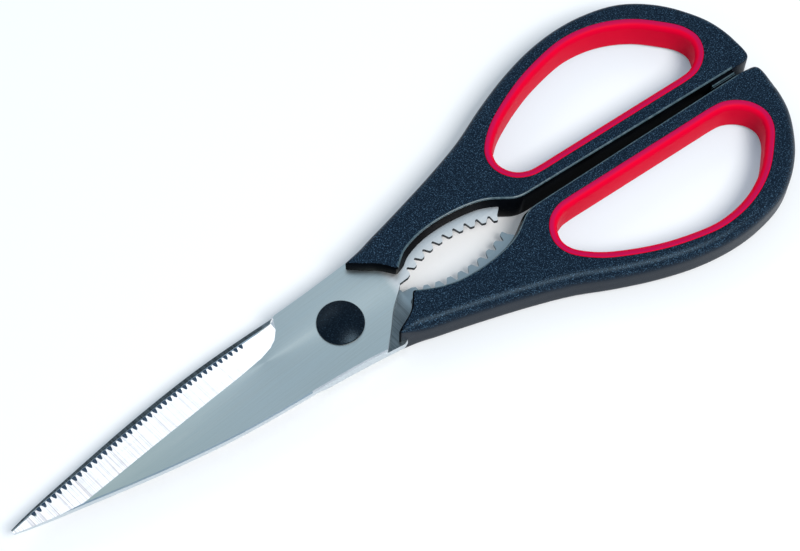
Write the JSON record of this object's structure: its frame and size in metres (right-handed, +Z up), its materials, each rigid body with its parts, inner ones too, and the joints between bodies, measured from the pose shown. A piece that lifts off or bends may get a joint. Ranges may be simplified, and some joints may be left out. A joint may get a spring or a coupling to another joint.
{
  "type": "kitchen shears",
  "caption": "Kitchen shears with riveted steel blades, a finely serrated edge, a toothed nutcracker opening and soft-lined finger loops in rigid moulded handles.",
  "frame": {"origin": "middle of the closed shears' length and width, on the plane they lie on", "axes": "+X along the shears from the blade tips to the finger loops, +Y towards the handle of the front blade, +Z up out of the table, square to the blades"},
  "size_m": [0.212, 0.0714, 0.0095],
  "materials": {
    "blade_steel": "fine lengthwise brushing with a bright ground bevel",
    "rear_blade_steel": "fine brushing with a bright ground bevel",
    "handle_plastic": "fine moulded grain",
    "lower_handle_plastic": "fine moulded grain",
    "grip_rubber": "satin",
    "lower_grip_rubber": "satin",
    "rivet_steel": "turned",
    "washer_steel": "turned",
    "cap_plastic": "fine moulded grain",
    "rear_cap_plastic": "fine moulded grain"
  },
  "bodies": {
    "lower_half": {"rear_blade": "rear_blade_steel", "lower_handle": "lower_handle_plastic", "lower_grip_insert": "lower_grip_rubber"},
    "upper_half": {"front_blade": "blade_steel", "upper_handle": "handle_plastic", "upper_grip_insert": "grip_rubber", "pivot_rivet": "rivet_steel", "rivet_washer": "washer_steel", "front_pivot_cap": "cap_plastic", "rear_pivot_cap": "rear_cap_plastic"}
  },
  "joints": [
    {"name": "pivot", "type": "hinge", "parent": "lower_half", "child": "upper_half", "pos_m": [-0.018, 0, 0.00475], "axis": [0, 0, 1], "range_deg": [0, 70]}
  ]
}
